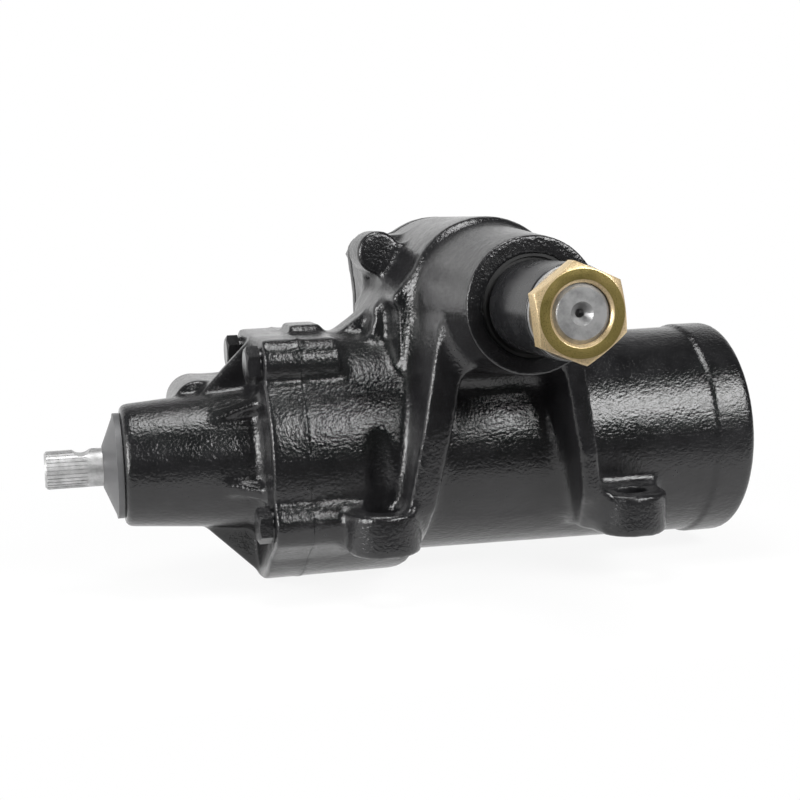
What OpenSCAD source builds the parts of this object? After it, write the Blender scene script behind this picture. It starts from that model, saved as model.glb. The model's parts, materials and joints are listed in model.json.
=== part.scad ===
// Recirculating-ball power steering gear, in millimetres, +Z up.
// Origin: midway between the two front mounting holes, on the ears' lower face.
// Inside the modules the rack axis is the X axis and the sector axis runs along Y above it.

/* [Layout] */
// Height of the sector shaft axis above the rack axis
centre_distance = 79; // [78:0.5:80]
// Plane where the valve housing meets the main housing
joint_x = -94; // [-96:0.5:-93]
// Face that carries the side cover
cover_face_y = 43; // [42:0.5:45]
// Front face of the sector shaft boss
boss_face_y = -115.5; // [-120:0.5:-112]

/* [Main cylinder] */
// Radial gap between the rack piston and its bore
piston_gap = 0.3; // [0.2:0.05:0.5]
// Outer radius next to the barrel
cylinder_r = 53.8; // [53:0.1:55]
// Outer radius next to the collar, with casting draft
cylinder_end_r = 55.8; // [55:0.1:56.5]
// Radius of the thick collar at the closed end
collar_r = 57.1; // [57:0.1:59]
// Start of the collar
collar_x = 121; // [118:0.5:124]
// Closed end of the housing
end_x = 141.8; // [140:0.2:146]
// Bevel on the collar's outer edge
collar_bevel = 2.5; // [1:0.5:4]

/* [Barrel and flange] */
// Radius of the barrel next to the joint
barrel_r = 62.6; // [62:0.1:64]
// End of the full barrel, before it tapers into the cylinder
barrel_end_x = -34; // [-36:0.5:-33]
// Length of the taper from barrel to cylinder
barrel_taper = 5; // [4:0.5:7]
// Length of the threaded lugs behind the joint
lug_len = 20; // [18:0.5:22]
// Height of the flat machined top
flat_top_z = 62.7; // [62:0.1:64]
// Upper flange bolts, sideways from the rack axis
top_bolt_y = 35; // [33:0.5:37]
// Upper flange bolts, above the rack axis
top_bolt_z = 50.7; // [49:0.1:51]
// Lower flange bolts, sideways from the rack axis
low_bolt_y = 54; // [52:0.5:55]
// Lower flange bolts, below the rack axis
low_bolt_z = -24.5; // [-27:0.5:-22]
// Radius of the lobes around the flange bolts
lobe_r = 12.5; // [11:0.5:14]

/* [Sector chamber] */
// Outer radius of the round chamber over the sector
chamber_r = 40; // [39.5:0.1:41]
// Front shoulder of the chamber
chamber_front_y = -48; // [-52:0.5:-46]
// Root radius of the tapered sector boss
boss_root_r = 36.5; // [35:0.5:37]
// Face radius of the tapered sector boss
boss_face_r = 31.5; // [31:0.1:33]
// Outer half width of the toothed space under the sector
gear_box_x = 54.5; // [54:0.5:56]
// Front wall of the toothed space
gear_box_y = -24; // [-27:0.5:-23.5]
// Front ends of the blind cover bolt bosses
cover_boss_y = 17; // [16:0.5:20]

/* [Mounting ears] */
// Hole to hole distance of the front pair
ear_pitch = 127; // [124:0.5:130]
// Middle of the front pair, from the sector axis
ear_mid_x = 3; // [1:0.5:5]
// Hole axis, sideways from the rack axis
ear_y = 67; // [66:0.5:69]
// Outer radius of an ear
ear_r = 18; // [17:0.5:20]
// Mounting hole radius
ear_hole_r = 8; // [7:0.25:8.5]
// Lower face of the ears
ear_low_z = -39; // [-41:0.5:-37]
// Upper face of the ears
ear_top_z = -18.5; // [-20:0.5:-17]

/* [Valve housing] */
// Flange thickness, outside face to joint
flange_t = 18; // [16:0.5:20]
// Free end of the nose
nose_x = -178.6; // [-180:0.2:-177.6]
// Nose radius at its free end
nose_r = 30.7; // [30:0.1:32]
// Nose radius at the flange
nose_root_r = 36; // [35:0.5:38]
// Bore that the valve sleeve turns in
valve_bore_r = 24; // [23.5:0.1:24.5]
// Outer radius of the hydraulic port bosses
port_boss_r = 13.5; // [12.5:0.5:14]
// Outer face of the hydraulic port bosses
port_face_y = 46; // [44:0.5:50]
// Pressure port thread radius
pressure_port_r = 7.9; // [7:0.1:8.5]
// Return port thread radius
return_port_r = 8.7; // [7.5:0.1:9]

/* [Input shaft] */
// Tip of the input shaft
input_tip_x = -216.3; // [-220:0.5:-212]
// Radius of the splined input end
input_r = 9.525; // [9.3:0.025:9.8]
// Radius of the seal and bearing journal
journal_r = 10.5; // [10.2:0.05:11]
// Spool radius inside the valve sleeve
spool_r = 13; // [12.5:0.1:13.5]
// Number of fine splines
spline_count = 30; // [24:1:32]

/* [Rack and sector] */
// Radius of the rack piston
piston_r = 44.15; // [43.7:0.05:44.2]
// Valve end of the rack piston
piston_low_x = -60; // [-62:0.5:-58]
// Closed end of the rack piston
piston_high_x = 72; // [70:0.5:74]
// Pitch line of the rack above its axis
rack_pitch_z = 37; // [36.5:0.1:37.5]
// Teeth that a full sector gear would have
gear_count = 12; // [12:1:12]
// Pressure angle of the teeth
pressure_deg = 25; // [24:0.5:26]
// Height of a sector tooth above the pitch circle
sector_add = 5.5; // [5:0.1:5.8]
// Half width of the sector's teeth
sector_half_w = 19; // [17:0.5:19.5]

/* [Worm and balls] */
// Turns of the worm for each turn of the sector
steering_ratio = 14; // [13.5:0.5:14.5]
// Ball radius
ball_r = 3.57; // [3.4:0.01:3.7]
// Radius of the circle that the balls' centres run on
ball_circle_r = 16; // [15.8:0.1:16.4]
// Outer radius of the worm thread
worm_r = 15.3; // [15:0.1:15.4]
// Balls in each turn of the circuit
balls_per_turn = 13; // [11:1:13]

/* [Output end] */
// Radius of the sector shaft journal
shaft_r = 17.5; // [17.2:0.05:17.8]
// Crest radius of the serrated pitman seat
serration_r = 16.9; // [16.5:0.05:17]
// Thread radius for the pitman nut
thread_r = 12.7; // [12:0.05:13]
// Outer radius of the protective sleeve
sleeve_r = 20.5; // [20:0.1:21]
// End of the protective sleeve
sleeve_end_y = -163.5; // [-166:0.5:-160]
// Nut size across flats
nut_flats = 38.1; // [36:0.1:41]
// Nut thickness
nut_t = 9; // [8:0.5:11]

/* [Side cover] */
// Upper cover bolts, sideways from the sector axis
cover_top_x = 38; // [37:0.5:39]
// Upper cover bolts, above the sector axis
cover_top_z = 20.8; // [19:0.2:22]
// Lower cover bolts, sideways from the sector axis
cover_low_x = 44.5; // [44:0.5:46]
// Lower cover bolts, below the sector axis
cover_low_z = -42; // [-43:0.5:-41]
// Radius of the bosses around the cover bolts
cover_lobe_r = 11; // [10:0.5:12]
// Thickness of the cover plate
cover_t = 9; // [8:0.2:11]

/* [Fits] */
// Radial gap of a turning or sliding fit
run_gap = 0.05; // [0.03:0.01:0.1]
// Radial gap of a screw thread
thread_gap = 0.05; // [0.02:0.01:0.1]
// Free gap between parts that pass each other
free_gap = 0.4; // [0.3:0.05:0.5]
// Radial gap of a bolt in a plain hole
bolt_gap = 0.5; // [0.3:0.1:0.8]

/* [Hidden] */
$fn = 48;
eps = 0.5;
cast_black = [0.06, 0.06, 0.065];
steel = [0.62, 0.63, 0.65];
dark_steel = [0.32, 0.33, 0.35];
zinc_gold = [0.72, 0.56, 0.25];
rubber_black = [0.05, 0.05, 0.05];
bronze = [0.66, 0.48, 0.26];
ptfe = [0.85, 0.84, 0.8];

// Cylinder bore
bore_r = piston_r + piston_gap;

// Frame
ear_x = [ear_mid_x - ear_pitch / 2, ear_mid_x + ear_pitch / 2];
rear_ear_x = ear_mid_x;
tool_path_z = 40;

// Webs between the sector boss and the front ears
web_y = [-84.5, -38];
web_slope_y = [-78, -58];
web_slope_z = 20;
left_web_x = [-35.5, -22];
left_web_drop = [8, 22];
left_web_foot = [10, 22, 24];
left_web_foot_x = [for (d = left_web_foot) ear_x[0] + d];
right_web_y = -82;
right_web_x = [25, 35.5];
right_web_drop = [20, 12];
right_web_foot = [28, 23, 12, 20];
right_web_foot_x = [for (d = right_web_foot) ear_x[1] - d];
right_web_rise = 10;
saddle_x = [-30, 32];
saddle_r = 9;
saddle_rise = 0.4;
saddle_top = 20;
ear_flare = 1.2;

// Flange and its bolts
flange_x = joint_x - flange_t;
flange_bolt_r = 5.55;
flange_bolt_flats = 15.9;
flange_bolt_head = 7.7;
flange_bolt_reach = 16;
flange_spots = [[-top_bolt_y, top_bolt_z], [top_bolt_y, top_bolt_z],
                [-low_bolt_y, low_bolt_z], [low_bolt_y, low_bolt_z]];
web_t = 7;
nose_bevel = 2;
nose_flare = 4;
nose_flare_len = 4;
rib_sink = 0.7;
joint_seal_w = 1.6;
joint_seal_land = 2.45;
joint_seal_squeeze = 0.4;
joint_seal_r = bore_r + joint_seal_land + joint_seal_w;
joint_seal_x = joint_x - 2 * joint_seal_w + joint_seal_squeeze;
flange_foot_y = 17;
flange_foot_z = -barrel_r * 0.965;
bolt_room_r = flange_bolt_flats * 0.7;
bolt_room = 20;
bolt_end_gap = 1;

// Barrel's slanted lower end
barrel_foot_x = [barrel_end_x - 11.5, barrel_end_x - 6];
barrel_slant_z = 20;

// Chamber and cover
gear_back_y = 25;
gear_box_low_z = 10;
gear_box_drop = [19, 5];
gear_box_neck = 4;
roof_y = -45;
roof_x = 1.3;
roof_z = [-4, 1.2];
roof_top = [chamber_r * 0.7, chamber_r * 0.675];
waist_x = 46.5;
waist_z = [1, -14];
access_x = 36;
pad_r = 11.2;
pad_x = -44;
pad_z = 22.7;
pad_y = -6;
pillar_x = 44.8;
pillar_low_z = 20;
gusset_y = [-10, 12];
gusset_x = [-gear_box_x - 11.5, -gear_box_x + 4];
gusset_t = 6;
top_pad_x = [joint_x + 2, joint_x + 18];
top_pad_y = [-8, 16];
top_pad_h = 4.2;
cover_room = 30;
cover_room_gap = 1;
cover_spots = [[-cover_top_x, cover_top_z], [cover_top_x, cover_top_z],
               [-cover_low_x, cover_low_z], [cover_low_x, cover_low_z]];
cover_bolt_r = 5;
cover_bolt_flats = 17;
cover_bolt_head = 7;
cover_bolt_reach = 10.5;
gasket_t = 1.2;
cover_low_y = cover_face_y + gasket_t;
cover_back_y = cover_low_y + cover_t;
cover_hub_r = 23;
cover_hub_t = 11;
cover_hub_y = cover_back_y + cover_hub_t;
rear_journal_r = 15;
bushing_t = 3;
bushing_y = cover_back_y + 3;
rear_end_y = bushing_y - 2;
pocket_r = 10;
pocket_y = rear_end_y - 14;
adjuster_r = 5;
adjuster_head_r = 8;
adjuster_head_t = 4;
adjuster_end_y = cover_hub_y + 12;
locknut_flats = 19;
locknut_t = 7;
retainer_t = 3;
adjuster_float = 1;
retainer_y = pocket_y + adjuster_float + adjuster_head_t + adjuster_float;
adjuster_key_flats = 5;
adjuster_key_depth = 6;

// Rack and sector teeth
pitch_r = centre_distance - rack_pitch_z;
tooth_mod = 2 * pitch_r / gear_count;
tooth_pitch = PI * tooth_mod;
tooth_step = 360 / gear_count;
base_r = pitch_r * cos(pressure_deg);
sector_tip_r = pitch_r + sector_add;
sector_root_r = centre_distance - piston_r - 1.6;
rack_root_z = centre_distance - sector_tip_r - 1;
backlash = 0.35;
gear_space_r = sector_tip_r + 1;
gear_space_y = sector_half_w + 2;
gear_space_z = [20, centre_distance - 3];
upper_space_r = sector_root_r + 0.8;
rack_cut_y = 42;

// Bearings and seals of the output end
needle_t = 4;
needle_y = [-52, -25];
seal_bore_r = shaft_r + 6;
seal_y = [boss_face_y + 11.5, boss_face_y + 18.5];
seal_washer_t = 1.5;
seal_ring_t = 2;
seal_ring_depth = 1.8;
dust_seal_t = 7;
dust_seal_in = 0.8;
boss_bore_r = shaft_r + needle_t;
washer_t = 2;
nut_turn = 23;
washer_r = 20.2;
nut_low_y = sleeve_end_y - washer_t - nut_t;
shaft_end_y = nut_low_y + 0.6;
shaft_bevel = 1.8;
serration_depth = 0.5;
serration_w = 0.5;
serration_count = 36;
relief_len = 4;
centre_r = 5;
centre_depth = 3.2;
centre_drill_r = 1.9;
centre_drill_len = 8;
clip_gap = 3;
dust_groove = [2.2, 1.4];
dust_groove_t = 1.2;
sleeve_draft = 0.2;
press_gap = 0.02;
washer_gap = 0.2;
nut_bevel = 0.6;
nut_bevel_slope = 1.6;
nut_mouth = 1.4;

// Worm, valve and torsion bar
worm_lead = 2 * PI * pitch_r / steering_ratio;
worm_low_x = -76;
worm_high_x = 30;
worm_core_r = 11.5;
ball_groove_r = ball_r + 0.5;
worm_steps = 14;
ball_turns = 2;
circuit_x = [-44, -44 + ball_turns * worm_lead];
ball_seat_r = ball_circle_r + ball_r + 0.01;
piston_bore_r = worm_r + 0.6;
bearing_t = 4;
head_t = 5.8;
head_r = 26;
head_bore_r = 30;
retainer_nut_t = 7;
head_float = 0.1;
head_seat_x = joint_x - 19;
bearing_a_x = [head_seat_x, head_seat_x + bearing_t];
head_x = [bearing_a_x[1] + head_float, bearing_a_x[1] + head_float + head_t];
bearing_b_x = [head_x[1] + head_float, head_x[1] + head_float + bearing_t];
nut_ring_x = [bearing_b_x[1], bearing_b_x[1] + retainer_nut_t];
neck_r = 14;
bearing_in_r = neck_r + free_gap;
end_gap = 1;
input_seal_in = 6.1;
input_seal_len = 7.5;
needle_in_len = 13;
valve_cavity_gap = 2;
input_seal_x = [nose_x + input_seal_in, nose_x + input_seal_in + input_seal_len];
needle_in_x = [input_seal_x[1] + end_gap, input_seal_x[1] + end_gap + needle_in_len];
valve_cavity_x = needle_in_x[1] + end_gap;
valve_x = [valve_cavity_x + valve_cavity_gap, head_seat_x - end_gap];
neck_len = 6;
neck_x = valve_x[1] - neck_len;
valve_r = valve_bore_r - free_gap;
ring_w = 2;
ring_depth = 1.6;
ring_count = 4;
ring_step = (neck_x - valve_x[0]) / ring_count;
ring_xs = [for (i = [0:ring_count - 1]) valve_x[0] + ring_step / 2 - ring_w / 2 + i * ring_step];
needle_in_t = 4.5;
input_seal_r = 18;
seal_clip_t = 1.6;
seal_clip_depth = 1.2;
spool_end_gap = 1.5;
spool_x = [valve_x[0] + end_gap, neck_x - spool_end_gap];
slot_inset = 3;
slot_count = 6;
slot_w = 3;
slot_depth = 1.4;
bar_end_r = 5;
bar_r = 3.2;
bar_bore_x = [input_tip_x + 9, head_x[1] + 6];
bar_end_len = 12;
bar_end_gap = 1;
drive_pin_r = 1.6;
drive_pin_in = 24.5;
drive_pin_x = input_tip_x + drive_pin_in;
pin_inset = 0.6;
worm_pin_r = 1.8;
worm_pin_x = valve_x[1] - neck_len / 2;

// Splines and clamp notch of the input shaft
tip_bevel = 1.2;
spline_len = 20.5;
spline_w = 0.4;
spline_depth = 0.4;
notch_r = 5;
notch_x = 18;
notch_rise = 2.4;

// Dust cap over the input shaft
cap_r = 26.4;
cap_rim_t = 3;
cap_cone_t = 6;
cap_gap = 0.4;
cap_wall = 1.6;
cap_lip = 1;
cap_mouth = cap_r - cap_lip - cap_wall;
cap_tip_t = 2.56;

// Rack piston ends and ball return guide
ring_groove_x = [piston_high_x - 12, piston_high_x - 8];
ring_groove_r = piston_r - 4.2;
ring_t = 2.2;
plug_r = 17;
plug_t = 10;
plug_key_flats = 12.7;
plug_key_depth = 5;
guide_r = 5;
guide_inset = 11.15;
guide_z = guide_inset - piston_r;
guide_leg_r = guide_r - 0.3;
guide_bore_r = ball_r + 0.06;
pocket_floor_z = guide_z + guide_r;
pocket_half_y = 17;
pocket_end = 8;
ball_run = 6;
guide_hole_z = -10;
guide_half_y = guide_r + eps;
guide_leg_gap = 0.5;
clamp_x = [-32, -18];
clamp_inset = 5.75;
clamp_low_z = clamp_inset - piston_r;
clamp_half_y = 15.6;
clamp_screw_y = 10.8;
clamp_screw_r = 2;
clamp_head_r = 3.4;
clamp_head_t = 2;
clamp_screw_reach = 5;

// Closed end of the housing
plug_seat_x = end_x - 15;
plug_shoulder = 2.55;
end_plug_r = bore_r + plug_shoulder;
end_plug_t = 8.5;
end_seal_w = 3;
end_seal_depth = 2.4;
end_seal_x = [plug_seat_x + 2.6, plug_seat_x + 2.6 + end_seal_w];
end_clip_t = 2.4;
end_clip_depth = 2;

// Hydraulic ports
port_in = [44, 27.5];
port_xs = [for (d = port_in) joint_x - d];
port_z = 26.5;
port_root_y = 5;
port_flat = port_boss_r * 0.97;
port_depth = 15;
port_path_r = 3.4;
port_low_y = port_face_y - port_depth;
seat_t = 4;
seat_step = 1.2;
seat_hole_r = 2.6;

// Ribs of the valve housing: angle, length along the nose, height at the flange
ribs = [[0, 27, flat_top_z - nose_bevel], [180, 28, barrel_r - nose_bevel], [42, 26, 46], [-42, 26, 46],
        [106, 22, 46], [-106, 22, 46]];

// Helpers

module place() {
  translate([-ear_mid_x, ear_y, -ear_low_z]) children();
}

module xcyl(r, x0, x1) {
  translate([x0, 0, 0]) rotate([0, 90, 0]) cylinder(r = r, h = x1 - x0);
}

module xcone(r0, r1, x0, x1) {
  translate([x0, 0, 0]) rotate([0, 90, 0]) cylinder(r1 = r0, r2 = r1, h = x1 - x0);
}

module xring(ro, ri, x0, x1) {
  difference() {
    xcyl(ro, x0, x1);
    xcyl(ri, x0 - eps, x1 + eps);
  }
}

module ycyl(r, y0, y1, x = 0, z = 0) {
  translate([x, y0, centre_distance + z]) rotate([-90, 0, 0]) cylinder(r = r, h = y1 - y0);
}

module ycone(r0, r1, y0, y1) {
  translate([0, y0, centre_distance]) rotate([-90, 0, 0]) cylinder(r1 = r0, r2 = r1, h = y1 - y0);
}

module yring(ro, ri, y0, y1) {
  difference() {
    ycyl(ro, y0, y1);
    ycyl(ri, y0 - eps, y1 + eps);
  }
}

// Outline in Y and Z, drawn out along X
module xprism(x0, x1) {
  translate([x0, 0, 0]) rotate([90, 0, 90]) linear_extrude(height = x1 - x0) children();
}

// Outline in X and Z, drawn out along Y
module yprism(y0, y1) {
  translate([0, y1, 0]) rotate([90, 0, 0]) linear_extrude(height = y1 - y0) children();
}

module box(x0, x1, y0, y1, z0, z1) {
  translate([x0, y0, z0]) cube([x1 - x0, y1 - y0, z1 - z0]);
}

module hex(flats, t) {
  cylinder(r = flats / sqrt(3), h = t, $fn = 6);
}

// Main housing

module flange_outline() {
  difference() {
    union() {
      circle(r = barrel_r);
      for (s = flange_spots) translate(s) circle(r = lobe_r);
      translate([-top_bolt_y, 0]) square([2 * top_bolt_y, flat_top_z]);
      for (m = [-1, 1]) polygon([
        [m * low_bolt_y, low_bolt_z + lobe_r * 0.95],
        [m * (low_bolt_y + lobe_r * 0.93), low_bolt_z - lobe_r * 0.35],
        [m * (low_bolt_y + lobe_r * 0.55), low_bolt_z - lobe_r * 0.83],
        [m * flange_foot_y, flange_foot_z],
        [0, 0]
      ]);
    }
    translate([-barrel_r - eps, flat_top_z]) square([2 * barrel_r + 2 * eps, barrel_r]);
  }
}

// One side of the cover outline, from the top down, about the sector axis
function cover_side(m, grow) = [
  [m * chamber_r * 0.57, cover_top_z + cover_lobe_r * 0.97 + grow],
  [m * cover_top_x, cover_top_z + cover_lobe_r * 0.97 + grow],
  [m * (cover_top_x + cover_lobe_r * 0.97 + grow), cover_top_z - cover_lobe_r * 0.2],
  [m * (waist_x + grow), waist_z[0]],
  [m * (waist_x + grow), waist_z[1]],
  [m * (cover_low_x + cover_lobe_r * 0.97 + grow), cover_low_z + cover_lobe_r * 0.2],
  [m * cover_low_x, cover_low_z - cover_lobe_r * 0.99 - grow]
];
function reversed(list) = [for (i = [len(list) - 1:-1:0]) list[i]];

module cover_plate(y0, y1, grow = 0) {
  for (s = cover_spots) ycyl(cover_lobe_r + grow, y0, y1, s[0], s[1]);
  ycyl(chamber_r + grow, y0, y1);
  translate([0, 0, centre_distance]) yprism(y0, y1)
    polygon(concat(cover_side(1, grow), reversed(cover_side(-1, grow))));
}

module ear(x, side) {
  translate([x, side * ear_y, ear_low_z]) {
    cylinder(r = ear_r, h = ear_top_z - ear_low_z);
    linear_extrude(height = ear_top_z - ear_low_z) polygon([
      [-ear_r * 0.985, 0], [ear_r * 0.985, 0],
      [ear_r * ear_flare, -side * (ear_y + web_y[1])], [-ear_r * ear_flare, -side * (ear_y + web_y[1])]
    ]);
  }
}

module webs() {
  intersection() {
    union() {
      yprism(web_y[0], web_y[1]) polygon([
        [left_web_x[0], centre_distance - left_web_drop[0]], [left_web_foot_x[0], ear_top_z],
        [left_web_foot_x[0], ear_low_z], [left_web_foot_x[1], ear_low_z],
        [left_web_foot_x[2], ear_top_z], [left_web_x[1], centre_distance - left_web_drop[1]]
      ]);
      yprism(right_web_y, web_y[1]) polygon([
        [right_web_x[0], centre_distance - right_web_drop[0]], [right_web_foot_x[0], ear_top_z],
        [right_web_foot_x[1], ear_low_z], [right_web_foot_x[2], ear_low_z],
        [right_web_foot_x[3], ear_top_z + right_web_rise],
        [right_web_x[1], centre_distance - right_web_drop[1]]
      ]);
    }
    xprism(ear_x[0], ear_x[1]) polygon([
      [web_y[1] + eps, centre_distance], [web_y[0], centre_distance], [web_y[0], web_slope_z],
      [web_slope_y[0], ear_top_z], [web_slope_y[1], ear_low_z + eps], [web_y[1] + eps, ear_low_z + eps]
    ]);
  }
  saddle();
}

// Round hollow between the cylinder and the boss above it
module saddle() {
  hollow_z = centre_distance - boss_root_r + saddle_rise - saddle_r;
  hollow_y = -sqrt((cylinder_r + saddle_r) * (cylinder_r + saddle_r) - hollow_z * hollow_z);
  xprism(saddle_x[0], saddle_x[1]) difference() {
    polygon([
      [web_y[1], hollow_z - saddle_r], [hollow_y, hollow_z - saddle_r],
      [hollow_y, centre_distance - saddle_top], [web_y[1], centre_distance - saddle_top]
    ]);
    translate([hollow_y, hollow_z]) circle(r = saddle_r);
  }
}

module gear_box_outline() {
  polygon([
    [-gear_box_x, gear_box_low_z], [-gear_box_x, centre_distance - gear_box_drop[0]],
    [-waist_x - gear_box_neck, centre_distance - gear_box_drop[1]],
    [waist_x + gear_box_neck, centre_distance - gear_box_drop[1]],
    [gear_box_x, centre_distance - gear_box_drop[0]], [gear_box_x, gear_box_low_z]
  ]);
}

module main_body() {
  xcone(cylinder_r, cylinder_end_r, barrel_end_x, collar_x + eps);
  xcyl(collar_r, collar_x, end_x - collar_bevel);
  xcone(collar_r, collar_r - collar_bevel, end_x - collar_bevel, end_x);
  intersection() {
    union() {
      xcyl(barrel_r, joint_x, barrel_end_x);
      xcone(barrel_r, cylinder_r + 1, barrel_end_x, barrel_end_x + barrel_taper);
    }
    yprism(-barrel_r - eps, barrel_r + eps) polygon([
      [joint_x - eps, flat_top_z], [joint_x - eps, -barrel_r - eps], [barrel_foot_x[0], -barrel_r - eps],
      [barrel_foot_x[1], -cylinder_r], [barrel_end_x + barrel_taper + eps, barrel_slant_z],
      [barrel_end_x + barrel_taper + eps, flat_top_z]
    ]);
  }
  xprism(joint_x, joint_x + lug_len) flange_outline();
  ycyl(chamber_r, chamber_front_y, cover_face_y);
  ycone(boss_face_r, boss_root_r, boss_face_y, chamber_front_y + eps);
  cover_plate(cover_boss_y, cover_face_y);
  ycyl(pad_r, pad_y, cover_boss_y + eps, pad_x, pad_z);
  yprism(gear_box_y, gear_back_y) gear_box_outline();
  yprism(roof_y, gear_back_y) polygon([
    [-pillar_x, pillar_low_z], [-pillar_x, centre_distance + roof_z[0]],
    [-waist_x - roof_x, centre_distance + roof_z[1]],
    [-roof_top[0], centre_distance + roof_top[1]], [roof_top[0], centre_distance + roof_top[1]],
    [waist_x + roof_x, centre_distance + roof_z[1]],
    [pillar_x, centre_distance + roof_z[0]], [pillar_x, pillar_low_z]
  ]);
  yprism(gusset_y[0], gusset_y[1]) polygon([
    [gusset_x[1], centre_distance - gear_box_drop[1]], [gusset_x[0], flat_top_z + eps],
    [gusset_x[0], flat_top_z - gusset_t], [gusset_x[1], flat_top_z - gusset_t]
  ]);
  box(top_pad_x[0], top_pad_x[1], top_pad_y[0], top_pad_y[1],
      flat_top_z - top_pad_h, flat_top_z + top_pad_h);
  webs();
  for (x = ear_x) ear(x, -1);
  ear(rear_ear_x, 1);
}

// Room for the sector, and the opening that it goes in through
module gear_space() {
  ycyl(upper_space_r, -gear_space_y, cover_face_y + eps);
  intersection() {
    ycyl(gear_space_r, -gear_space_y, gear_space_y);
    box(-gear_space_r - eps, gear_space_r + eps, -gear_space_y - eps, gear_space_y + eps,
        gear_space_z[0], gear_space_z[1]);
  }
  access_opening(gear_space_y - eps, cover_face_y + eps);
}

module access_opening(y0, y1) {
  intersection() {
    ycyl(gear_space_r, y0, y1);
    box(-access_x, access_x, y0 - eps, y1 + eps, gear_space_z[0], gear_space_z[1]);
  }
}

module main_housing() {
  color(cast_black) place() difference() {
    main_body();
    xcyl(bore_r, joint_x - eps, plug_seat_x + eps);
    xcyl(end_plug_r + run_gap, plug_seat_x, end_x + eps);
    xcyl(end_plug_r + end_clip_depth, plug_seat_x + end_plug_t, plug_seat_x + end_plug_t + end_clip_t);
    gear_space();
    cover_plate(cover_face_y, cover_face_y + cover_room, cover_room_gap);
    ycyl(boss_bore_r, boss_face_y - eps, -gear_space_y + eps);
    ycyl(seal_bore_r, boss_face_y - eps, seal_y[1]);
    ycyl(seal_bore_r + seal_ring_depth, seal_y[0] - seal_washer_t - seal_ring_t, seal_y[0] - seal_washer_t);
    for (s = cover_spots)
      ycyl(cover_bolt_r + thread_gap, cover_face_y - cover_bolt_reach, cover_face_y + eps, s[0], s[1]);
    for (s = flange_spots) translate([0, s[0], s[1]])
      xcyl(flange_bolt_r + thread_gap, joint_x - eps, joint_x + flange_bolt_reach);
    for (x = ear_x) translate([x, -ear_y, ear_low_z - eps])
      cylinder(r = ear_hole_r, h = tool_path_z - ear_low_z);
    translate([rear_ear_x, ear_y, ear_low_z - eps])
      cylinder(r = ear_hole_r, h = ear_top_z - ear_low_z + 2 * eps);
  }
}

// Valve housing

module valve_rib(rib) {
  foot_x = flange_x - rib[1];
  foot_r = nose_root_r - (nose_root_r - nose_r) * rib[1] / (flange_x - nose_x - nose_bevel);
  root_r = nose_r - nose_bevel;
  rotate([rib[0], 0, 0]) yprism(-web_t / 2, web_t / 2) polygon([
    [foot_x, foot_r - rib_sink], [flange_x + eps, rib[2]], [flange_x + eps, root_r], [foot_x, root_r]
  ]);
}

module valve_housing() {
  color(cast_black) place() difference() {
    union() {
      xprism(flange_x, joint_x) flange_outline();
      xcone(nose_r - nose_bevel, nose_r, nose_x, nose_x + nose_bevel);
      xcone(nose_r, nose_root_r, nose_x + nose_bevel, flange_x + eps);
      xcone(nose_root_r - eps, nose_root_r + nose_flare, flange_x - nose_flare_len, flange_x + eps);
      for (rib = ribs) valve_rib(rib);
      for (x = port_xs) translate([x, 0, port_z - centre_distance])
        ycyl(port_boss_r, port_root_y, port_face_y);
      box(port_xs[0], port_xs[1], port_root_y, port_face_y, port_z - port_flat, port_z + port_flat);
    }
    xcyl(input_seal_r, nose_x - eps, needle_in_x[0]);
    xcyl(journal_r + needle_in_t, needle_in_x[0] - eps, valve_cavity_x + eps);
    xcyl(valve_bore_r, valve_cavity_x, head_seat_x + eps);
    xcyl(head_bore_r, head_seat_x, joint_x + eps);
    xcyl(input_seal_r + seal_clip_depth, input_seal_x[0] - seal_clip_t, input_seal_x[0]);
    xring(joint_seal_r + joint_seal_w, joint_seal_r - joint_seal_w, joint_seal_x, joint_x + eps);
    for (s = flange_spots) translate([0, s[0], s[1]])
      xcyl(flange_bolt_r + bolt_gap, flange_x - eps, joint_x + eps);
    for (s = flange_spots) translate([0, s[0], s[1]])
      xcyl(bolt_room_r, flange_x - bolt_room, flange_x);
    port_cut(port_xs[0], pressure_port_r);
    port_cut(port_xs[1], return_port_r);
  }
}

module port_cut(x, r) {
  translate([x, 0, port_z - centre_distance]) {
    ycyl(r, port_low_y, port_face_y + eps);
    ycyl(r - seat_step, port_low_y - seat_t, port_low_y + eps);
    ycyl(port_path_r, 0, port_low_y);
  }
}

module port_seat(x, r) {
  translate([x, 0, port_z - centre_distance]) difference() {
    ycyl(r - seat_step, port_low_y - seat_t, port_low_y);
    ycyl(seat_hole_r, port_low_y - seat_t - eps, port_low_y + eps);
  }
}

module pressure_port_seat() {
  color(bronze) place() port_seat(port_xs[0], pressure_port_r);
}

module return_port_seat() {
  color(bronze) place() port_seat(port_xs[1], return_port_r);
}

module valve_housing_bolts() {
  color(dark_steel) place() for (s = flange_spots) translate([0, s[0], s[1]]) {
    translate([flange_x - flange_bolt_head, 0, 0]) rotate([0, 90, 0])
      hex(flange_bolt_flats, flange_bolt_head);
    xcyl(flange_bolt_r, flange_x - eps, joint_x + flange_bolt_reach - bolt_end_gap);
  }
}

module housing_joint_seal() {
  color(rubber_black) place()
    xring(joint_seal_r + joint_seal_w, joint_seal_r - joint_seal_w, joint_seal_x, joint_x);
}

// Side cover and lash adjuster

module side_cover() {
  color(cast_black) place() difference() {
    union() {
      cover_plate(cover_low_y, cover_back_y);
      ycyl(cover_hub_r, cover_back_y - eps, cover_hub_y);
    }
    ycyl(rear_journal_r + bushing_t, cover_low_y - eps, bushing_y);
    ycyl(adjuster_r + thread_gap, cover_low_y, cover_hub_y + eps);
    for (s = cover_spots)
      ycyl(cover_bolt_r + bolt_gap, cover_low_y - eps, cover_back_y + eps, s[0], s[1]);
  }
}

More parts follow.
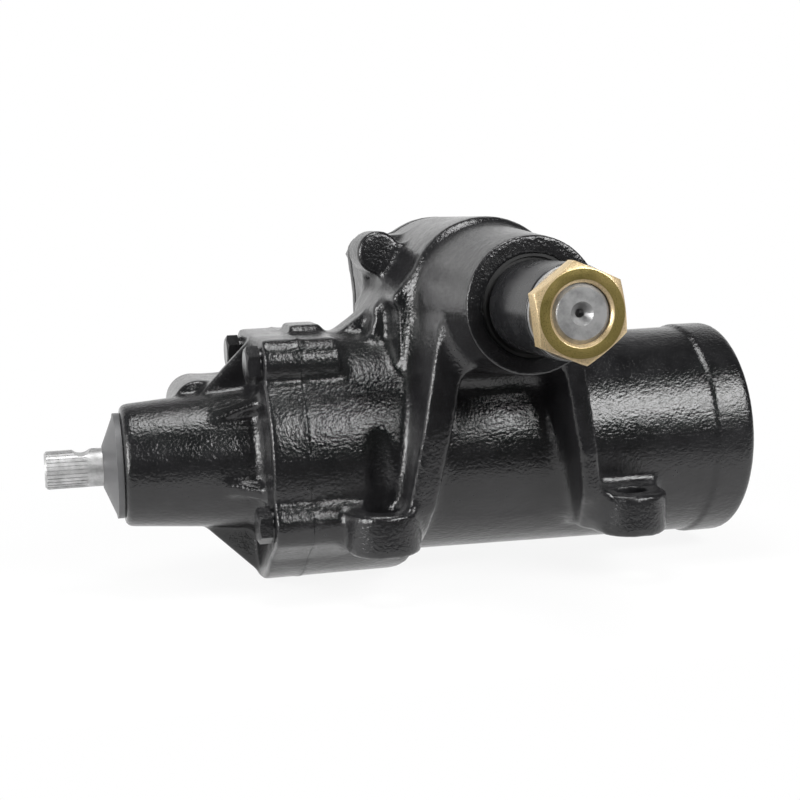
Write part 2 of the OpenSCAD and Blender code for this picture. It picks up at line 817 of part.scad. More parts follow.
module side_cover_gasket() {
  color(rubber_black) place() difference() {
    union() {
      cover_plate(cover_face_y, cover_low_y);
    }
    ycyl(upper_space_r, cover_face_y - eps, cover_low_y + eps);
    access_opening(cover_face_y - eps, cover_low_y + eps);
    for (s = cover_spots)
      ycyl(cover_bolt_r + bolt_gap, cover_face_y - eps, cover_low_y + eps, s[0], s[1]);
  }
}

module side_cover_bolts() {
  color(dark_steel) place() for (s = cover_spots) {
    translate([s[0], cover_back_y, s[1] + centre_distance]) rotate([-90, 0, 0])
      hex(cover_bolt_flats, cover_bolt_head);
    ycyl(cover_bolt_r, cover_face_y - cover_bolt_reach + bolt_end_gap, cover_back_y + eps, s[0], s[1]);
  }
}

module cover_bushing() {
  color(bronze) place()
    yring(rear_journal_r + bushing_t, rear_journal_r + run_gap, cover_low_y + 1, bushing_y);
}

module lash_adjuster() {
  color(steel) place() difference() {
    union() {
      ycyl(adjuster_head_r, pocket_y + adjuster_float, pocket_y + adjuster_float + adjuster_head_t);
      ycyl(adjuster_r, pocket_y + adjuster_float, adjuster_end_y);
    }
    translate([0, adjuster_end_y + eps, centre_distance]) rotate([90, 0, 0])
      hex(adjuster_key_flats, adjuster_key_depth + eps);
  }
}

module adjuster_locknut() {
  color(steel) place() difference() {
    translate([0, cover_hub_y, centre_distance]) rotate([-90, 0, 0]) hex(locknut_flats, locknut_t);
    ycyl(adjuster_r + thread_gap, cover_hub_y - eps, cover_hub_y + locknut_t + eps);
  }
}

module adjuster_retainer() {
  color(steel) place() yring(pocket_r, adjuster_r + free_gap, retainer_y, retainer_y + retainer_t);
}

// Output end

function involute_deg(a) = tan(a) * 180 / PI - a;
function half_tooth(r) = 90 / gear_count - backlash / 2 / pitch_r * 180 / PI
  + involute_deg(pressure_deg) - involute_deg(acos(min(1, base_r / r)));

module sector_tooth() {
  radii = [for (i = [0:8]) base_r + (sector_tip_r - base_r) * i / 8];
  right = [for (r = radii) [r * sin(half_tooth(r)), -r * cos(half_tooth(r))]];
  left = [for (i = [8:-1:0]) [-right[i][0], right[i][1]]];
  foot = half_tooth(base_r);
  polygon(concat([[sector_root_r * sin(foot) * 0.9, -sector_root_r * 0.9]], right, left,
    [[-sector_root_r * sin(foot) * 0.9, -sector_root_r * 0.9]]));
}

module serrations(r, y0, y1) {
  for (i = [0:serration_count - 1])
    translate([0, y0, centre_distance]) rotate([0, i * 360 / serration_count, 0])
      translate([-serration_w / 2, 0, r - serration_depth])
        cube([serration_w, y1 - y0, 2 * serration_depth]);
}

module sector_shaft() {
  color(steel) place() difference() {
    union() {
      ycyl(sector_root_r, -sector_half_w, sector_half_w);
      for (k = [-1:1]) translate([0, 0, centre_distance]) rotate([0, k * tooth_step, 0])
        yprism(-sector_half_w, sector_half_w) sector_tooth();
      ycyl(rear_journal_r, sector_half_w - eps, rear_end_y);
      ycyl(shaft_r, boss_face_y + eps, -sector_half_w + eps);
      ycyl(serration_r, sleeve_end_y + relief_len, boss_face_y + 2 * eps);
      ycyl(thread_r, shaft_end_y + shaft_bevel, sleeve_end_y + relief_len + eps);
      ycone(thread_r - shaft_bevel, thread_r, shaft_end_y, shaft_end_y + shaft_bevel);
    }
    ycyl(pocket_r, pocket_y, rear_end_y + eps);
    serrations(serration_r, sleeve_end_y + relief_len - eps, boss_face_y);
    ycone(centre_r, centre_drill_r - 0.1, shaft_end_y - 0.01, shaft_end_y + centre_depth);
    ycyl(centre_drill_r, shaft_end_y - eps, shaft_end_y + centre_drill_len);
  }
}

module sector_needle_bearing() {
  color(steel) place() yring(boss_bore_r, shaft_r + run_gap, needle_y[0], needle_y[1]);
}

module sector_seal() {
  color(rubber_black) place() yring(seal_bore_r, shaft_r + run_gap, seal_y[0], seal_y[1]);
}

module sector_seal_washer() {
  color(steel) place() yring(seal_bore_r, shaft_r + free_gap, seal_y[0] - seal_washer_t, seal_y[0]);
}

module sector_seal_clip() {
  color(dark_steel) place() yring(seal_bore_r + seal_ring_depth, shaft_r + clip_gap,
    seal_y[0] - seal_washer_t - seal_ring_t, seal_y[0] - seal_washer_t);
}

module sector_dust_seal() {
  color(rubber_black) place() difference() {
    ycyl(seal_bore_r, boss_face_y + dust_seal_in, boss_face_y + dust_seal_in + dust_seal_t);
    ycyl(shaft_r + run_gap, boss_face_y - eps, boss_face_y + dust_seal_in + dust_seal_t + eps);
    yring(seal_bore_r - dust_groove[1], shaft_r + dust_groove[0], boss_face_y - eps,
      boss_face_y + dust_seal_in + dust_groove_t);
  }
}

module spline_sleeve() {
  color(rubber_black) place() difference() {
    ycone(sleeve_r - sleeve_draft, sleeve_r + sleeve_draft, sleeve_end_y,
      boss_face_y + dust_seal_in - free_gap);
    ycyl(serration_r + press_gap, sleeve_end_y + relief_len - 2 * eps, boss_face_y + 2 * eps);
    ycyl(thread_r + free_gap, sleeve_end_y - eps, sleeve_end_y + relief_len);
  }
}

module pitman_lock_washer() {
  color(steel) place() yring(washer_r, thread_r + washer_gap, sleeve_end_y - washer_t, sleeve_end_y);
}

module pitman_nut() {
  color(zinc_gold) place() difference() {
    intersection() {
      translate([0, nut_low_y, centre_distance]) rotate([-90, 0, 0]) rotate([0, 0, nut_turn])
        hex(nut_flats, nut_t);
      ycone(nut_flats / 2 - nut_bevel, nut_flats / 2 + nut_t * nut_bevel_slope,
        nut_low_y, nut_low_y + nut_t);
    }
    ycyl(thread_r + thread_gap, nut_low_y - eps, nut_low_y + nut_t + eps);
    ycone(thread_r + nut_mouth, thread_r, nut_low_y - 0.01, nut_low_y + nut_mouth);
  }
}

// Rack piston

module rack_space(x) {
  half = tooth_pitch / 4 + backlash / 2;
  low = half - (rack_pitch_z - rack_root_z) * tan(pressure_deg);
  high = half + (bore_r - rack_pitch_z) * tan(pressure_deg);
  yprism(-rack_cut_y, rack_cut_y) polygon([
    [x - low, rack_root_z], [x + low, rack_root_z], [x + high, bore_r], [x - high, bore_r]
  ]);
}

module rack_piston() {
  color(steel) place() difference() {
    xcyl(piston_r, piston_low_x, piston_high_x);
    for (k = [-1:1]) rack_space(k * tooth_pitch);
    xcyl(piston_bore_r, piston_low_x - eps, piston_high_x + eps);
    xcyl(ball_seat_r, circuit_x[0] - ball_run, circuit_x[1] + ball_run);
    xcyl(plug_r + thread_gap, piston_high_x - plug_t, piston_high_x + eps);
    xring(piston_r + eps, ring_groove_r, ring_groove_x[0], ring_groove_x[1]);
    box(circuit_x[0] - pocket_end, circuit_x[1] + pocket_end, -pocket_half_y, pocket_half_y,
        -piston_r - eps, pocket_floor_z);
    for (x = circuit_x) translate([x, 0, guide_z])
      cylinder(r = guide_leg_r + press_gap, h = guide_hole_z - guide_z);
    for (y = [-clamp_screw_y, clamp_screw_y])
      translate([(clamp_x[0] + clamp_x[1]) / 2, y, pocket_floor_z - eps])
        cylinder(r = clamp_screw_r + thread_gap, h = clamp_screw_reach + eps);
  }
}

module piston_seal() {
  color(ptfe) place() xring(bore_r - run_gap, ring_groove_r + ring_t, ring_groove_x[0], ring_groove_x[1]);
}

module piston_seal_backup() {
  color(rubber_black) place()
    xring(ring_groove_r + ring_t, ring_groove_r, ring_groove_x[0], ring_groove_x[1]);
}

module piston_plug() {
  color(steel) place() difference() {
    xcyl(plug_r, piston_high_x - plug_t, piston_high_x);
    translate([piston_high_x - plug_key_depth, 0, 0]) rotate([0, 90, 0])
      hex(plug_key_flats, plug_key_depth + eps);
  }
}

module recirculating_balls() {
  total = ball_turns * balls_per_turn;
  color(steel) place() {
    for (i = [0:total]) {
      turn = i / balls_per_turn;
      side = ball_circle_r * sin(turn * 360);
      height = -ball_circle_r * cos(turn * 360);
      translate([circuit_x[0] + turn * worm_lead, side, height]) sphere(r = ball_r);
    }
    for (i = [0:4])
      translate([circuit_x[0] + (circuit_x[1] - circuit_x[0]) * i / 4, 0, guide_z]) sphere(r = ball_r);
  }
}

module ball_guide() {
  difference() {
    union() {
      translate([0, 0, guide_z]) xcyl(guide_r, circuit_x[0] - guide_r, circuit_x[1] + guide_r);
      for (x = circuit_x) translate([x, 0, guide_z])
        cylinder(r = guide_leg_r, h = -guide_z - ball_seat_r - guide_leg_gap);
    }
    translate([0, 0, guide_z]) xcyl(guide_bore_r, circuit_x[0] - ball_r, circuit_x[1] + ball_r);
    for (x = circuit_x) translate([x, 0, guide_z]) cylinder(r = guide_bore_r - press_gap, h = -guide_z);
  }
}

module ball_guide_front() {
  color(dark_steel) place() intersection() {
    ball_guide();
    box(circuit_x[0] - pocket_end, circuit_x[1] + pocket_end, -guide_half_y, 0, -piston_r, 0);
  }
}

module ball_guide_rear() {
  color(dark_steel) place() intersection() {
    ball_guide();
    box(circuit_x[0] - pocket_end, circuit_x[1] + pocket_end, 0, guide_half_y, -piston_r, 0);
  }
}

module guide_clamp() {
  color(dark_steel) place() difference() {
    box(clamp_x[0], clamp_x[1], -clamp_half_y, clamp_half_y, clamp_low_z, pocket_floor_z);
    translate([0, 0, guide_z]) xcyl(guide_r + press_gap, clamp_x[0] - eps, clamp_x[1] + eps);
    box(clamp_x[0] - eps, clamp_x[1] + eps, -guide_r * 0.98, guide_r * 0.98, guide_z, pocket_floor_z + eps);
    for (y = [-clamp_screw_y, clamp_screw_y])
      translate([(clamp_x[0] + clamp_x[1]) / 2, y, clamp_low_z - eps])
        cylinder(r = clamp_screw_r + washer_gap, h = pocket_floor_z - clamp_low_z + 2 * eps);
  }
}

module guide_clamp_screws() {
  color(dark_steel) place() for (y = [-clamp_screw_y, clamp_screw_y])
    translate([(clamp_x[0] + clamp_x[1]) / 2, y, clamp_low_z - clamp_head_t]) {
      cylinder(r = clamp_head_r, h = clamp_head_t);
      cylinder(r = clamp_screw_r,
        h = pocket_floor_z - clamp_low_z + clamp_head_t + clamp_screw_reach - bolt_end_gap);
    }
}

// Worm, valve and input shaft

function groove_depth(a) =
  let (along = abs(a) / 360 * worm_lead)
  along < ball_groove_r
    ? min(worm_r, ball_circle_r - sqrt(ball_groove_r * ball_groove_r - along * along))
    : worm_r;

module worm_thread() {
  length = worm_high_x - worm_low_x;
  start = (worm_low_x - circuit_x[0]) / worm_lead * 360;
  translate([worm_low_x, 0, 0]) rotate([0, 90, 0]) rotate([0, 0, start])
    linear_extrude(height = length, twist = -360 * length / worm_lead,
      slices = round(worm_steps * length / worm_lead), $fn = 0)
      polygon([for (i = [0:worm_steps - 1])
        let (a = (i - worm_steps / 2) * 360 / worm_steps)
        [groove_depth(a) * cos(a), groove_depth(a) * sin(a)]]);
}

module worm_shaft() {
  color(steel) place() difference() {
    union() {
      worm_thread();
      xcyl(worm_core_r, head_x[1] - eps, worm_low_x + eps);
      xcyl(head_r, head_x[0], head_x[1]);
      xcyl(neck_r, neck_x, head_x[0] + eps);
    }
    xcyl(bar_end_r + run_gap, neck_x - eps, bar_bore_x[1]);
    translate([worm_pin_x, 0, 0]) cylinder(r = worm_pin_r, h = neck_r + eps);
  }
}

module valve_sleeve() {
  color(steel) place() difference() {
    xcyl(valve_r, valve_x[0], valve_x[1]);
    xcyl(spool_r + run_gap, valve_x[0] - eps, valve_x[1] + eps);
    xcyl(neck_r, neck_x, valve_x[1] + eps);
    for (x = ring_xs) xring(valve_r + eps, valve_r - ring_depth, x, x + ring_w);
    translate([worm_pin_x, 0, 0]) cylinder(r = worm_pin_r, h = valve_r + eps);
  }
}

module valve_sleeve_rings() {
  color(ptfe) place() for (x = ring_xs) xring(valve_bore_r - run_gap, valve_r - ring_depth, x, x + ring_w);
}

module worm_pin() {
  color(dark_steel) place() translate([worm_pin_x, 0, bar_end_r + bar_end_gap])
    cylinder(r = worm_pin_r, h = valve_r - bar_end_r - 2 * bar_end_gap);
}

module upper_thrust_bearing() {
  color(dark_steel) place() xring(head_bore_r, bearing_in_r, bearing_a_x[0], bearing_a_x[1]);
}

module lower_thrust_bearing() {
  color(dark_steel) place() xring(head_bore_r, bearing_in_r, bearing_b_x[0], bearing_b_x[1]);
}

module bearing_retainer() {
  color(dark_steel) place()
    xring(head_bore_r - thread_gap, bearing_in_r + end_gap, nut_ring_x[0], nut_ring_x[1]);
}

module input_shaft() {
  color(steel) place() difference() {
    union() {
      xcone(input_r - tip_bevel, input_r, input_tip_x, input_tip_x + tip_bevel);
      xcyl(input_r, input_tip_x + tip_bevel, nose_x);
      xcyl(journal_r, nose_x, spool_x[0] + eps);
      xcyl(spool_r, spool_x[0], spool_x[1]);
    }
    xcyl(bar_end_r, bar_bore_x[0], spool_x[1] + eps);
    for (i = [0:spline_count - 1]) rotate([i * 360 / spline_count, 0, 0])
      translate([input_tip_x - eps, -spline_w / 2, input_r - spline_depth])
        cube([spline_len + eps, spline_w, 2 * spline_depth]);
    translate([input_tip_x + notch_x, -input_r - eps, input_r + notch_rise]) rotate([-90, 0, 0])
      cylinder(r = notch_r, h = 2 * input_r + 2 * eps);
    for (i = [0:slot_count - 1]) rotate([i * 360 / slot_count, 0, 0])
      translate([spool_x[0] + slot_inset, -slot_w / 2, spool_r - slot_depth])
        cube([spool_x[1] - spool_x[0] - 2 * slot_inset, slot_w, 2 * slot_depth]);
    translate([drive_pin_x, 0, -journal_r - eps]) cylinder(r = drive_pin_r, h = 2 * journal_r + 2 * eps);
  }
}

module torsion_bar() {
  color(steel) place() difference() {
    union() {
      xcyl(bar_end_r, bar_bore_x[0], drive_pin_x + bar_end_len);
      xcyl(bar_r, bar_bore_x[0], bar_bore_x[1] - bar_end_gap);
      xcyl(bar_end_r, bar_bore_x[1] - bar_end_gap - bar_end_len, bar_bore_x[1] - bar_end_gap);
    }
    translate([drive_pin_x, 0, -input_r]) cylinder(r = drive_pin_r, h = 2 * input_r);
  }
}

module drive_pin() {
  color(dark_steel) place() translate([drive_pin_x, 0, pin_inset - input_r])
    cylinder(r = drive_pin_r, h = 2 * input_r - 2 * pin_inset);
}

module input_dust_cap() {
  cone_x = nose_x - cap_gap - cap_rim_t - cap_cone_t;
  rim_x = nose_x - cap_gap - cap_rim_t;
  color(rubber_black) place() difference() {
    union() {
      xcone(input_r + cap_lip, cap_r - cap_lip, cone_x, rim_x);
      xcyl(cap_r, rim_x, rim_x + cap_rim_t);
    }
    xcyl(input_r, cone_x - eps, nose_x);
    xcone(input_r, cap_mouth, cone_x + cap_tip_t, rim_x + cap_wall);
    xcyl(cap_mouth, rim_x + cap_wall - 0.01, nose_x);
  }
}

module input_needle_bearing() {
  color(steel) place() xring(journal_r + needle_in_t, journal_r + run_gap, needle_in_x[0], needle_in_x[1]);
}

module input_seal() {
  color(rubber_black) place() xring(input_seal_r, journal_r + run_gap, input_seal_x[0], input_seal_x[1]);
}

module input_seal_clip() {
  color(dark_steel) place() xring(input_seal_r + seal_clip_depth, journal_r + clip_gap,
    input_seal_x[0] - seal_clip_t, input_seal_x[0]);
}

// Closed end

module end_plug() {
  color(cast_black) place() difference() {
    xcyl(end_plug_r, plug_seat_x, plug_seat_x + end_plug_t);
    xring(end_plug_r + eps, end_plug_r - end_seal_depth, end_seal_x[0], end_seal_x[1]);
  }
}

module end_plug_seal() {
  color(rubber_black) place() xring(end_plug_r + run_gap, end_plug_r - end_seal_depth,
    end_seal_x[0], end_seal_x[1]);
}

module end_plug_clip() {
  color(dark_steel) place() xring(end_plug_r + end_clip_depth, end_plug_r - clip_gap,
    plug_seat_x + end_plug_t, plug_seat_x + end_plug_t + end_clip_t);
}

main_housing();
valve_housing();
valve_housing_bolts();
housing_joint_seal();
side_cover();
side_cover_gasket();
side_cover_bolts();
lash_adjuster();
adjuster_locknut();
cover_bushing();
sector_needle_bearing();
sector_seal();
sector_seal_washer();
sector_seal_clip();
sector_dust_seal();
end_plug();
end_plug_seal();
end_plug_clip();
input_needle_bearing();
input_seal();
input_seal_clip();
pressure_port_seat();
return_port_seat();
upper_thrust_bearing();
lower_thrust_bearing();
bearing_retainer();
sector_shaft();
adjuster_retainer();
spline_sleeve();
pitman_lock_washer();
pitman_nut();
rack_piston();
piston_seal();
piston_seal_backup();
piston_plug();
recirculating_balls();
ball_guide_front();
ball_guide_rear();
guide_clamp();
guide_clamp_screws();
worm_shaft();
valve_sleeve();
valve_sleeve_rings();
worm_pin();
input_shaft();
torsion_bar();
drive_pin();
input_dust_cap();
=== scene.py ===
"""Finish of a recirculating-ball power steering gear: cast skins, machined steel, stage, light and camera."""

import json
import math
from collections import namedtuple

import bmesh
import bpy
import numpy as np
import openvdb
from mathutils import Matrix, Vector


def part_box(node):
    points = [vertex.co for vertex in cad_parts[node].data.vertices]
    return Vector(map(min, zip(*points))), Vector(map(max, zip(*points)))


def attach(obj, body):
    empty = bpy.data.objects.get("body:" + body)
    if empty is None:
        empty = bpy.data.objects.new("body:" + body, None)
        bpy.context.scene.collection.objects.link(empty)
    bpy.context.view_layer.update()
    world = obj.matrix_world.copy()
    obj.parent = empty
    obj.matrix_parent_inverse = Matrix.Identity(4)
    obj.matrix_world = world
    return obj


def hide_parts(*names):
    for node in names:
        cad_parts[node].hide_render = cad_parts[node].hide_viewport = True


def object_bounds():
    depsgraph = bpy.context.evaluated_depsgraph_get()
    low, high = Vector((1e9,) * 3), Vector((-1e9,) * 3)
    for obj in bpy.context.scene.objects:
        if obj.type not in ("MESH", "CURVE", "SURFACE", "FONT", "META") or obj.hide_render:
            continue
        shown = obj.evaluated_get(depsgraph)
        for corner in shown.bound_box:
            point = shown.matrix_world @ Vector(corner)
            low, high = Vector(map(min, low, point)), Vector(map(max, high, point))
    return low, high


MM = 0.001
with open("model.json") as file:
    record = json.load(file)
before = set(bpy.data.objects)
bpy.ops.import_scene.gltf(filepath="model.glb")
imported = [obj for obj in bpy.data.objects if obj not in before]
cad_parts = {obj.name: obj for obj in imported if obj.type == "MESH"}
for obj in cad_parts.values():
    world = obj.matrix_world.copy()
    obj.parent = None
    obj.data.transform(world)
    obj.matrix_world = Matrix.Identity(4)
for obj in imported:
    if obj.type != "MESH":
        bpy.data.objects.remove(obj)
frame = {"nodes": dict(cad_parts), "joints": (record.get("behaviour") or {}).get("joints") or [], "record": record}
cad_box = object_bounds()
nodes = frame["nodes"]
joints = {joint["name"]: joint for joint in frame["joints"]}

# Axes of the gear, from the joints
RACK_Y, RACK_Z = joints["worm_turn"]["pos_m"][1:]
SECTOR_X, _, SECTOR_Z = joints["sector_turn"]["pos_m"]


# Node trees

def feed(tree, socket, value):
    """Links a socket to another node's output, or sets its value."""
    if isinstance(value, bpy.types.NodeSocket):
        tree.links.new(value, socket)
    else:
        socket.default_value = value


def add_node(tree, kind, inputs=None, **settings):
    """A new node. Its settings come first, because some of them change its sockets."""
    node = tree.nodes.new(kind)
    for name, value in settings.items():
        setattr(node, name, value)
    for name, value in (inputs or {}).items():
        feed(tree, node.inputs[name], value)
    return node


class Shader:
    """A material's node tree with one principled shader, and short calls that add nodes to it."""

    def __init__(self, name, sockets=None):
        self.material = bpy.data.materials.new(name)
        self.material.use_nodes = True
        self.tree = self.material.node_tree
        self.principled = self.tree.nodes["Principled BSDF"]
        for socket, value in (sockets or {}).items():
            self.principled.inputs[socket].default_value = value
        self.place = self.add("ShaderNodeTexCoord").outputs["Object"]

    def add(self, kind, inputs=None, **settings):
        return add_node(self.tree, kind, inputs, **settings)

    def link(self, output, socket):
        self.tree.links.new(output, self.principled.inputs[socket])

    def noise(self, size_mm, detail=2.0, rough=0.5, stretch=(1, 1, 1)):
        scaled = self.add("ShaderNodeMapping", {"Vector": self.place, "Scale": stretch}).outputs[0]
        inputs = {"Vector": scaled, "Scale": 1 / (size_mm * MM), "Detail": detail, "Roughness": rough}
        return self.add("ShaderNodeTexNoise", inputs).outputs["Fac"]

    def ramp(self, value, stops):
        """Each stop is (position, colour or grey)."""
        node = self.add("ShaderNodeValToRGB", {"Fac": value})
        node.color_ramp.interpolation = "EASE"
        while len(node.color_ramp.elements) < len(stops):
            node.color_ramp.elements.new(0.5)
        for element, (position, colour) in zip(node.color_ramp.elements, stops):
            element.position = position
            element.color = (*colour, 1) if hasattr(colour, "__len__") else (colour, colour, colour, 1)
        return node.outputs["Color"]

    def math(self, operation, first, second):
        return self.add("ShaderNodeMath", {0: first, 1: second}, operation=operation).outputs[0]

    def mix(self, share, first, second):
        """Colours mixed. A mix node's colours are its inputs 6 and 7 and its output 2."""
        return self.add("ShaderNodeMix", {0: share, 6: first, 7: second}, data_type="RGBA").outputs[2]

    def bump(self, *layers):
        """Each layer is (height, depth in millimetres)."""
        normal = None
        for height, depth_mm in layers:
            inputs = {"Height": height, "Distance": depth_mm * MM, "Strength": 1.0}
            if normal is not None:
                inputs["Normal"] = normal
            normal = self.add("ShaderNodeBump", inputs).outputs["Normal"]
        self.link(normal, "Normal")


def rgb(red, green, blue):
    return (red, green, blue, 1)


# Materials

def cast_paint(name, coarse, fine, swell):
    """Glossy black paint that follows the grain of the casting under it. A layer is (size, depth) in mm."""
    look = Shader(name, {"IOR": 1.55})
    patches = look.noise(26.0, detail=4, rough=0.65)
    dust = look.noise(1.3, detail=2)
    colour = look.ramp(patches, [(0.3, (0.008, 0.008, 0.0085)), (0.75, (0.016, 0.016, 0.017))])
    specks = look.ramp(dust, [(0.66, 0.0), (0.78, 1.0)])
    look.link(look.mix(look.math("MULTIPLY", specks, 0.3), colour, rgb(0.06, 0.06, 0.062)), "Base Color")
    look.link(look.ramp(patches, [(0.25, 0.13), (0.8, 0.27)]), "Roughness")
    look.bump(*((look.noise(size, detail=2, rough=0.55), depth) for size, depth in (swell, coarse, fine)))
    return look.material


def machined_steel(name, colour, rough, line_mm, stretch, metallic=1.0):
    """Bare turned steel: fine lines round the part, with slight stains."""
    look = Shader(name, {"Metallic": metallic})
    lines = look.noise(line_mm, detail=3, rough=0.7, stretch=stretch)
    stains = look.noise(7.0, detail=5, rough=0.65)
    dark = tuple(c * 0.6 for c in colour)
    look.link(look.ramp(stains, [(0.3, dark), (0.65, colour)]), "Base Color")
    look.link(look.ramp(lines, [(0.3, rough * 0.8), (0.7, rough * 1.2)]), "Roughness")
    look.bump((lines, 0.02))
    return look.material


def gold_zinc():
    """Yellow zinc plate, tinted by the way a face points: the darker olive gold on the turned end faces is painted
    shade, the paler tan on the flats is painted light.
    """
    look = Shader("gold_zinc", {"Metallic": 0.6})
    clouds = look.noise(11.0, detail=4, rough=0.6)
    fine = look.noise(0.5, detail=3, rough=0.7)
    # Darker olive for the end faces: painted shade
    shaded_face_colour = look.ramp(clouds, [(0.25, (0.2, 0.16, 0.045)),
                              (0.5, (0.28, 0.22, 0.07)),
                              (0.8, (0.36, 0.27, 0.1))])
    # Paler tan for the flats: painted light
    lit_flat_colour = look.ramp(clouds, [(0.25, (0.6, 0.46, 0.25)),
                              (0.5, (0.74, 0.57, 0.33)),
                              (0.8, (0.76, 0.58, 0.38))])
    # Painted light and shade: the colour follows the object-space normal, tan on the sideways flats and olive on
    # the end faces
    normal = look.add("ShaderNodeTexCoord").outputs["Normal"]
    endwise = look.math("ABSOLUTE", look.add("ShaderNodeSeparateXYZ", {0: normal}).outputs["Y"], 0.0)
    look.link(look.mix(look.ramp(endwise, [(0.88, 0.0), (0.97, 1.0)]), lit_flat_colour, shaded_face_colour), "Base Color")
    look.link(look.ramp(fine, [(0.3, 0.24), (0.7, 0.38)]), "Roughness")
    look.bump((fine, 0.03))
    return look.material


def moulded(name, colour, rough, grain_mm, depth_mm):
    """Rubber or plastic with a fine moulded skin."""
    look = Shader(name)
    skin = look.noise(grain_mm, detail=3)
    wear = look.noise(14.0, detail=4, rough=0.6)
    pale = tuple(min(1.0, c * 1.5 + 0.004) for c in colour)
    look.link(look.ramp(wear, [(0.35, colour), (0.8, pale)]), "Base Color")
    look.link(look.ramp(wear, [(0.3, rough * 0.85), (0.7, rough * 1.2)]), "Roughness")
    look.bump((skin, depth_mm))
    return look.material


# Stretch of the lines that turning leaves round an axis
ROUND_X = (12, 1, 1)
ROUND_Y = (1, 12, 1)
black_casting = cast_paint("black_casting", coarse=(1.5, 0.3), fine=(0.6, 0.08), swell=(8.0, 0.35))
black_bolt = cast_paint("black_bolt", coarse=(1.6, 0.08), fine=(0.8, 0.03), swell=(6.0, 0.1))
steel_x = machined_steel("steel_turned_x", (0.54, 0.54, 0.54), rough=0.45, line_mm=0.6,
                         stretch=ROUND_X, metallic=0.75)
steel_y = machined_steel("steel_turned_y", (0.46, 0.46, 0.46), rough=0.42, line_mm=0.6,
                         stretch=ROUND_Y, metallic=0.7)
dark_steel = machined_steel("dark_steel", (0.09, 0.09, 0.095), rough=0.38, line_mm=0.7, stretch=ROUND_X)
bronze = machined_steel("bronze", (0.6, 0.42, 0.22), rough=0.32, line_mm=0.6, stretch=ROUND_Y)
gold = gold_zinc()
rubber = moulded("rubber", (0.012, 0.012, 0.012), rough=0.55, grain_mm=0.8, depth_mm=0.03)
black_plastic = moulded("black_plastic", (0.012, 0.012, 0.013), rough=0.26, grain_mm=0.7, depth_mm=0.015)
cap_plastic = moulded("cap_plastic", (0.075, 0.075, 0.077), rough=0.42, grain_mm=0.8, depth_mm=0.02)
seal_plastic = moulded("seal_plastic", (0.74, 0.73, 0.69), rough=0.4, grain_mm=0.8, depth_mm=0.015)

SLOT_MATERIALS = {
    "black_casting": black_casting,
    "machined_steel": steel_x,
    "dark_steel": dark_steel,
    "gold_zinc": gold,
    "bronze": bronze,
    "rubber": rubber,
    "black_plastic": black_plastic,
    "seal_plastic": seal_plastic,
}
NODE_MATERIALS = {
    "sector_shaft": steel_y,
    "pitman_lock_washer": steel_y,
    "input_dust_cap": cap_plastic,
    "valve_housing_bolts": black_bolt,
    "side_cover_bolts": black_bolt,
}
NODE_SLOTS = {part["node"]: part["material_slot"] for part in frame["record"]["subparts"]}
BODIES = frame["record"]["behaviour"]["bodies"]
NODE_BODIES = {node: body for body, members in BODIES.items() for node in members}


def node_material(node):
    return NODE_MATERIALS.get(node, SLOT_MATERIALS[NODE_SLOTS[node]])


def dress(obj, material):
    obj.data.materials.clear()
    obj.data.materials.append(material)


for node, obj in nodes.items():
    dress(obj, node_material(node))


# Pieces

def add_piece(name, mesh, node):
    """A new mesh piece that stands for a CAD node and rides on its body."""
    piece = bpy.data.objects.new(name, mesh)
    bpy.context.scene.collection.objects.link(piece)
    dress(piece, node_material(node))
    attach(piece, NODE_BODIES[node])
    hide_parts(node)
    return piece


def applied(mesh, kind, **settings):
    """The mesh with one modifier applied."""
    holder = bpy.data.objects.new("holder", mesh)
    bpy.context.scene.collection.objects.link(holder)
    modifier = holder.modifiers.new("step", kind)
    for name, value in settings.items():
        setattr(modifier, name, value)
    graph = bpy.context.evaluated_depsgraph_get()
    result = bpy.data.meshes.new_from_object(holder.evaluated_get(graph))
    bpy.data.objects.remove(holder)
    return result


def smooth(mesh):
    mesh.polygons.foreach_set("use_smooth", np.ones(len(mesh.polygons), bool))
    mesh.update()


def shade(mesh, smooth_deg=35):
    """Smooth shading, with edges kept where faces meet at more than the angle."""
    smooth(mesh)
    mesh.set_sharp_from_angle(angle=math.radians(smooth_deg))
    mesh.update()


# Cast skins

CastForm = namedtuple("CastForm", "fillet_mm round_mm voxel_mm zone")
EDGE_VOXELS = 4
BLEND_VOXELS = 3
KNOWN_SHARE = 0.99


def fields(mesh, kind, name, width):
    """One kind of a mesh's data as an array, with a row for each element."""
    data = np.empty(len(getattr(mesh, kind)) * width, np.float32 if name == "co" else np.int32)
    getattr(mesh, kind).foreach_get(name, data)
    return data.reshape(-1, width)


def level_set(surface, voxel_mm, reach_mm):
    """A surface's signed distance in millimetres, known out to a reach. The surface is (points, faces)."""
    points, faces = surface
    kind = "triangles" if faces.shape[1] == 3 else "quads"
    transform = openvdb.createLinearTransform(voxelSize=voxel_mm)
    width = reach_mm / voxel_mm + BLEND_VOXELS
    settings = {"transform": transform, "halfWidth": width, kind: faces}
    return openvdb.FloatGrid.createLevelSetFromPolygons(points, **settings)


def formed(surface, form):
    """Hollows filled to one radius by moving the surface out and back, then edges rounded by moving it
    in and out."""
    for distance in (form.fillet_mm, -form.fillet_mm - form.round_mm, form.round_mm):
        surface = level_set(surface, form.voxel_mm, abs(distance)).convertToQuads(distance)
    return surface


def untrimmed(points, distance):
    return distance


